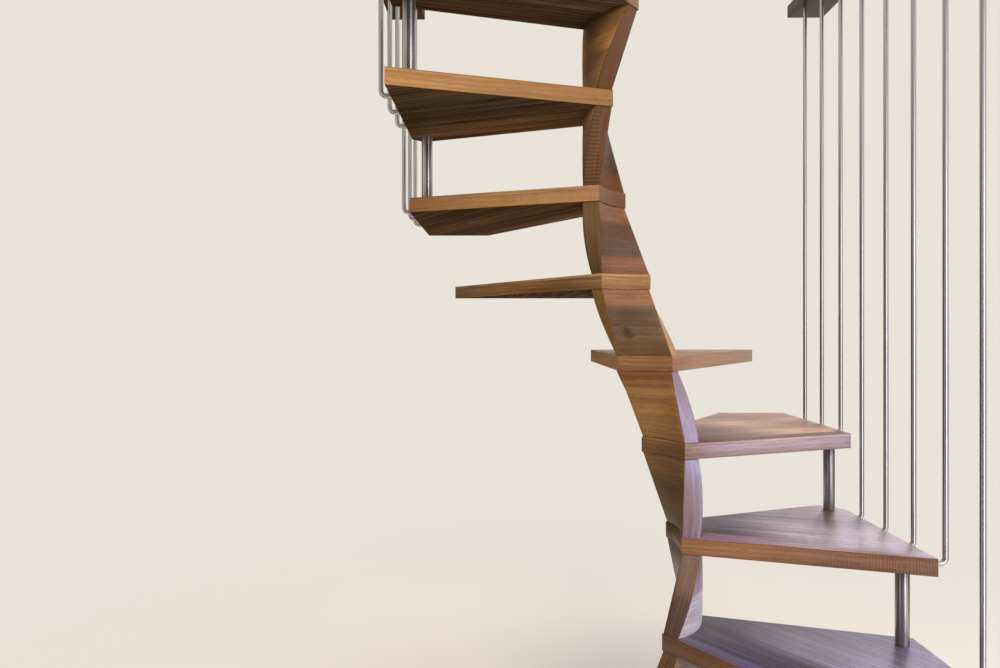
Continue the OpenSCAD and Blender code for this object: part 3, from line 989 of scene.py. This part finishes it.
def light_groups(floor):
    """Collections of the things that some lamps are kept to, by name."""
    things = bpy.data.objects
    boards = {n: things[f"board_tread_{n:02d}"] for n in range(1, 6)}
    blocks = [things[f"block_{n:02d}"] for n in range(1, 6)]
    steel = [thing for thing in bpy.context.scene.objects
             if thing.name.startswith(("tube_", "bars_"))]
    members = {
        "lower_wood": [*boards.values(), *blocks],
        "lower_blocks": blocks,
        "sheen_wood": [boards[4], *blocks],
        "lowest_boards": [boards[1], boards[2], boards[3]],
        "middle_boards": [boards[3], boards[4]],
        "steel": steel,
        "left_steel": [thing for thing in steel if int(thing.name[-2:]) > 6],
        "ground": [floor],
    }
    groups = {}
    for name, group in members.items():
        groups[name] = bpy.data.collections.new(name)
        for thing in group:
            groups[name].objects.link(thing)
    return groups


def seen_directly(tree):
    """1 for what the camera, reflections and glass see, and 0 for all other light."""
    path = add(tree, "LightPath")
    seen = add(tree, "Math", {0: path.outputs["Is Camera Ray"], 1: path.outputs["Is Glossy Ray"]},
               operation="MAXIMUM")
    return add(tree, "Math", {0: seen, 1: path.outputs["Is Transmission Ray"]},
               operation="MAXIMUM")


def stage_object(name, mesh, material):
    """Makes a thing of the stage, which isn't part of the stair, from a bmesh."""
    data = bpy.data.meshes.new(name)
    mesh.to_mesh(data)
    mesh.free()
    data.materials.append(material)
    thing = bpy.data.objects.new(name, data)
    bpy.context.scene.collection.objects.link(thing)
    return thing


def make_floor(pale):
    """A pale matt floor. It fades into the background away from the stair, and gives back less
    light than it shows, so that undersides stay dark."""
    material, t = new_material("matt_floor")
    seen = seen_directly(t)
    base = add(t, "Mix", {0: seen, 6: linear("554B42"), 7: pale}, data_type="RGBA")
    cloth = add(t, "BsdfPrincipled", {"Base Color": base.outputs[2], "Roughness": 0.9})
    spot = add(t, "TexCoord").outputs["Object"]
    reach = add(t, "VectorMath", {0: spot}, operation="LENGTH").outputs["Value"]
    away = add(t, "MapRange", {"Value": reach, "From Min": 0.6, "From Max": 3.0},
               interpolation_type="SMOOTHSTEP")
    fade = add(t, "Math", {0: away, 1: seen}, operation="MULTIPLY")
    glow = add(t, "Emission", {"Color": pale, "Strength": 1.0})
    both = add(t, "MixShader", {0: fade, 1: cloth, 2: glow})
    add(t, "OutputMaterial", {"Surface": both})
    mesh = bmesh.new()
    bmesh.ops.create_circle(mesh, cap_ends=True, radius=40.0, segments=96)
    floor = stage_object("floor", mesh, material)
    # Half a millimetre down, so that it doesn't flicker with the underside of the plate
    floor.location.z = -0.0005
    return floor


def make_world(pale):
    """A plain world: pale where it is seen, also in steel and varnish, and a low even light."""
    world = bpy.data.worlds.new("studio")
    bpy.context.scene.world = world
    world.use_nodes = True
    t = world.node_tree
    t.nodes.clear()
    dim = add(t, "Background", {"Color": linear("EFF3FF"), "Strength": 0.42})
    shown = add(t, "Background", {"Color": pale, "Strength": 1.0})
    both = add(t, "MixShader", {0: seen_directly(t), 1: dim, 2: shown})
    add(t, "OutputWorld", {"Surface": both})


# Upright flags of felt round the stair, which only the reflections see: they give the round
# steel its dark and light streaks. Each is: name, where its arc starts and ends in degrees
# anticlockwise from the X axis, radius and height in metres, colour
FLAGS = [
    ("felt_brown", 90, 127, 1.87, 3.2, "D2A468"),
    ("felt_black", 127, 207, 1.87, 3.2, "262626"),
    ("felt_dark", 229, 255, 1.95, 2.4, "3F3F3F"),
    ("felt_grey", 255, 314, 2.2, 1.9, "959595"),
    ("felt_dark_grey", 340, 386, 1.9, 1.3, "8B8B8B"),
]


def make_flags():
    """Curves each flag round the stair, and hides it from all but the reflections."""
    steps = 24
    for name, start, end, radius, height, code in FLAGS:
        material, t = new_material(name)
        felt = add(t, "BsdfDiffuse", {"Color": linear(code)})
        add(t, "OutputMaterial", {"Surface": felt})
        mesh = bmesh.new()
        turns = [math.radians(start + (end - start) * k / steps) for k in range(steps + 1)]
        rows = [[mesh.verts.new((radius * math.cos(a), radius * math.sin(a), z))
                 for z in (0.0, height)] for a in turns]
        for one, two in zip(rows, rows[1:]):
            mesh.faces.new((one[0], two[0], two[1], one[1]))
        flag = stage_object(name, mesh, material)
        flag.visible_camera = flag.visible_diffuse = flag.visible_shadow = False
        flag.visible_transmission = False


# Soft lamps: warm light from the front on both sides, a weak one from above, and cool daylight
# from the right and from behind, which falls on the lower wood most. Each is: name, place and
# target, width and height in metres, power in watts, colour, the group that it is kept to,
# and whether it gives soft light, or only the gloss on varnish and the streaks on steel
LAMPS = [
    ("key", (1.0, -2.9, 2.6), (-0.1, 0.0, 1.3), 1.8, 1.4, 80.0, "FFE9CE", None, "soft"),
    ("room", (-1.9, -3.6, 3.3), (0.0, 0.0, 1.4), 2.4, 2.0, 45.0, "FFE8CE", None, "soft"),
    ("above", (0.0, 0.4, 6.5), (0.0, 0.4, 0.0), 4.0, 4.0, 10.0, "FFF8F0", None, "soft"),
    ("window", (3.4, -0.9, 1.0), (0.0, -0.2, 0.7), 3.6, 2.0, 42.0, "CDD5FF", None, "soft"),
    ("low_window", (3.4, -0.9, 0.6), (0.0, -0.2, 0.6), 3.6, 1.2, 75.0, "BCC6FF",
     "lower_wood", "soft"),
    ("low_sheen", (2.9, -1.1, 0.45), (0.2, 0.0, 0.7), 4.2, 1.1, 180.0, "BFC9FF",
     "sheen_wood", "gloss"),
    ("high_sheen", (2.7, -1.3, 2.5), (0.1, 0.0, 0.9), 2.6, 1.3, 110.0, "BFC9FF",
     "lower_blocks", "gloss"),
    ("back_sheen", (2.75, 3.35, 2.1), (0.3, 0.0, 0.5), 1.9, 1.1, 40.0, "C8BEE6",
     "lowest_boards", "gloss"),
    ("back_window", (2.5, 3.3, 1.9), (0.35, 0.1, 0.65), 0.6, 1.1, 300.0, "E6E0FF",
     "middle_boards", "soft"),
    ("streak", (1.05, -1.8, 1.3), (0.0, 0.0, 1.3), 0.6, 2.6, 22.0, "FBFCFF", "steel", "gloss"),
    ("left_glow", (-1.75, 0.1, 1.8), (-0.6, 0.2, 1.8), 1.5, 1.9, 8.0, "FFEBC8",
     "left_steel", "gloss"),
    ("floor_fill", (0.0, 1.0, 6.5), (0.0, 1.0, 0.0), 5.0, 5.0, 260.0, "FFF8F0",
     "ground", "soft"),
]


def make_lamps(groups):
    """Sets the soft lamps, each kept to its group of pieces and its part of the light."""
    for name, place, target, width, height, power, code, group, part in LAMPS:
        lamp = bpy.data.lights.new(name, "AREA")
        lamp.shape = "RECTANGLE"
        lamp.size, lamp.size_y = width, height
        lamp.energy = power
        lamp.color = linear(code)[:3]
        thing = bpy.data.objects.new(name, lamp)
        bpy.context.scene.collection.objects.link(thing)
        thing.location = place
        look_at(thing, target)
        thing.visible_camera = False
        thing.visible_glossy = part == "gloss"
        thing.visible_diffuse = part == "soft"
        thing.light_linking.receiver_collection = groups[group] if group else None


def make_camera():
    """Sets the camera at the photograph's viewing angle."""
    scene = bpy.context.scene
    data = bpy.data.cameras.new("camera")
    data.lens = 24.866
    data.sensor_width = 36.0
    data.shift_y = -0.00543
    data.clip_start, data.clip_end = 0.05, 100.0
    camera = bpy.data.objects.new("camera", data)
    scene.collection.objects.link(camera)
    camera.location = (-0.3346, -1.7304, 1.1467)
    camera.rotation_euler = (math.pi / 2, 0.0, 0.01111)
    scene.camera = camera


class STAIR_OT_stage(bpy.types.Operator):
    """Set the pale floor, the soft studio lamps and the camera"""

    bl_idname = "stair.stage"
    bl_label = "Stage and camera"

    def execute(self, context):
        pale = tuple(context.scene.stair_finish.backdrop)
        floor = make_floor(pale)
        make_world(pale)
        make_flags()
        make_lamps(light_groups(floor))
        make_camera()
        context.scene.view_settings.view_transform = "Standard"
        return {"FINISHED"}


OPERATORS = [STAIR_OT_treads, STAIR_OT_spine, STAIR_OT_posts, STAIR_OT_rods, STAIR_OT_rims,
             STAIR_OT_base, STAIR_OT_stage]


class STAIR_PT_panel(bpy.types.Panel):
    """Sizes, colours and pieces of the stair"""

    bl_idname = "STAIR_PT_panel"
    bl_label = "Spiral stair"
    bl_space_type = "VIEW_3D"
    bl_region_type = "UI"
    bl_category = "Stair"

    def draw(self, context):
        for group in (context.scene.stair_form, context.scene.stair_finish):
            box = self.layout.box()
            for name in group.__annotations__:
                box.prop(group, name)
        for operator in OPERATORS:
            self.layout.operator(operator.bl_idname)


CLASSES = [StairForm, StairFinish, *OPERATORS, STAIR_PT_panel]


def register():
    for item in CLASSES:
        bpy.utils.register_class(item)
    bpy.types.Scene.stair_form = bpy.props.PointerProperty(type=StairForm)
    bpy.types.Scene.stair_finish = bpy.props.PointerProperty(type=StairFinish)


def unregister():
    del bpy.types.Scene.stair_finish
    del bpy.types.Scene.stair_form
    for item in reversed(CLASSES):
        bpy.utils.unregister_class(item)


def main():
    register()
    bpy.ops.stair.treads()
    bpy.ops.stair.spine()
    bpy.ops.stair.posts()
    bpy.ops.stair.rods()
    bpy.ops.stair.rims()
    bpy.ops.stair.base()
    bpy.ops.stair.stage()


if __name__ == "__main__":
    main()
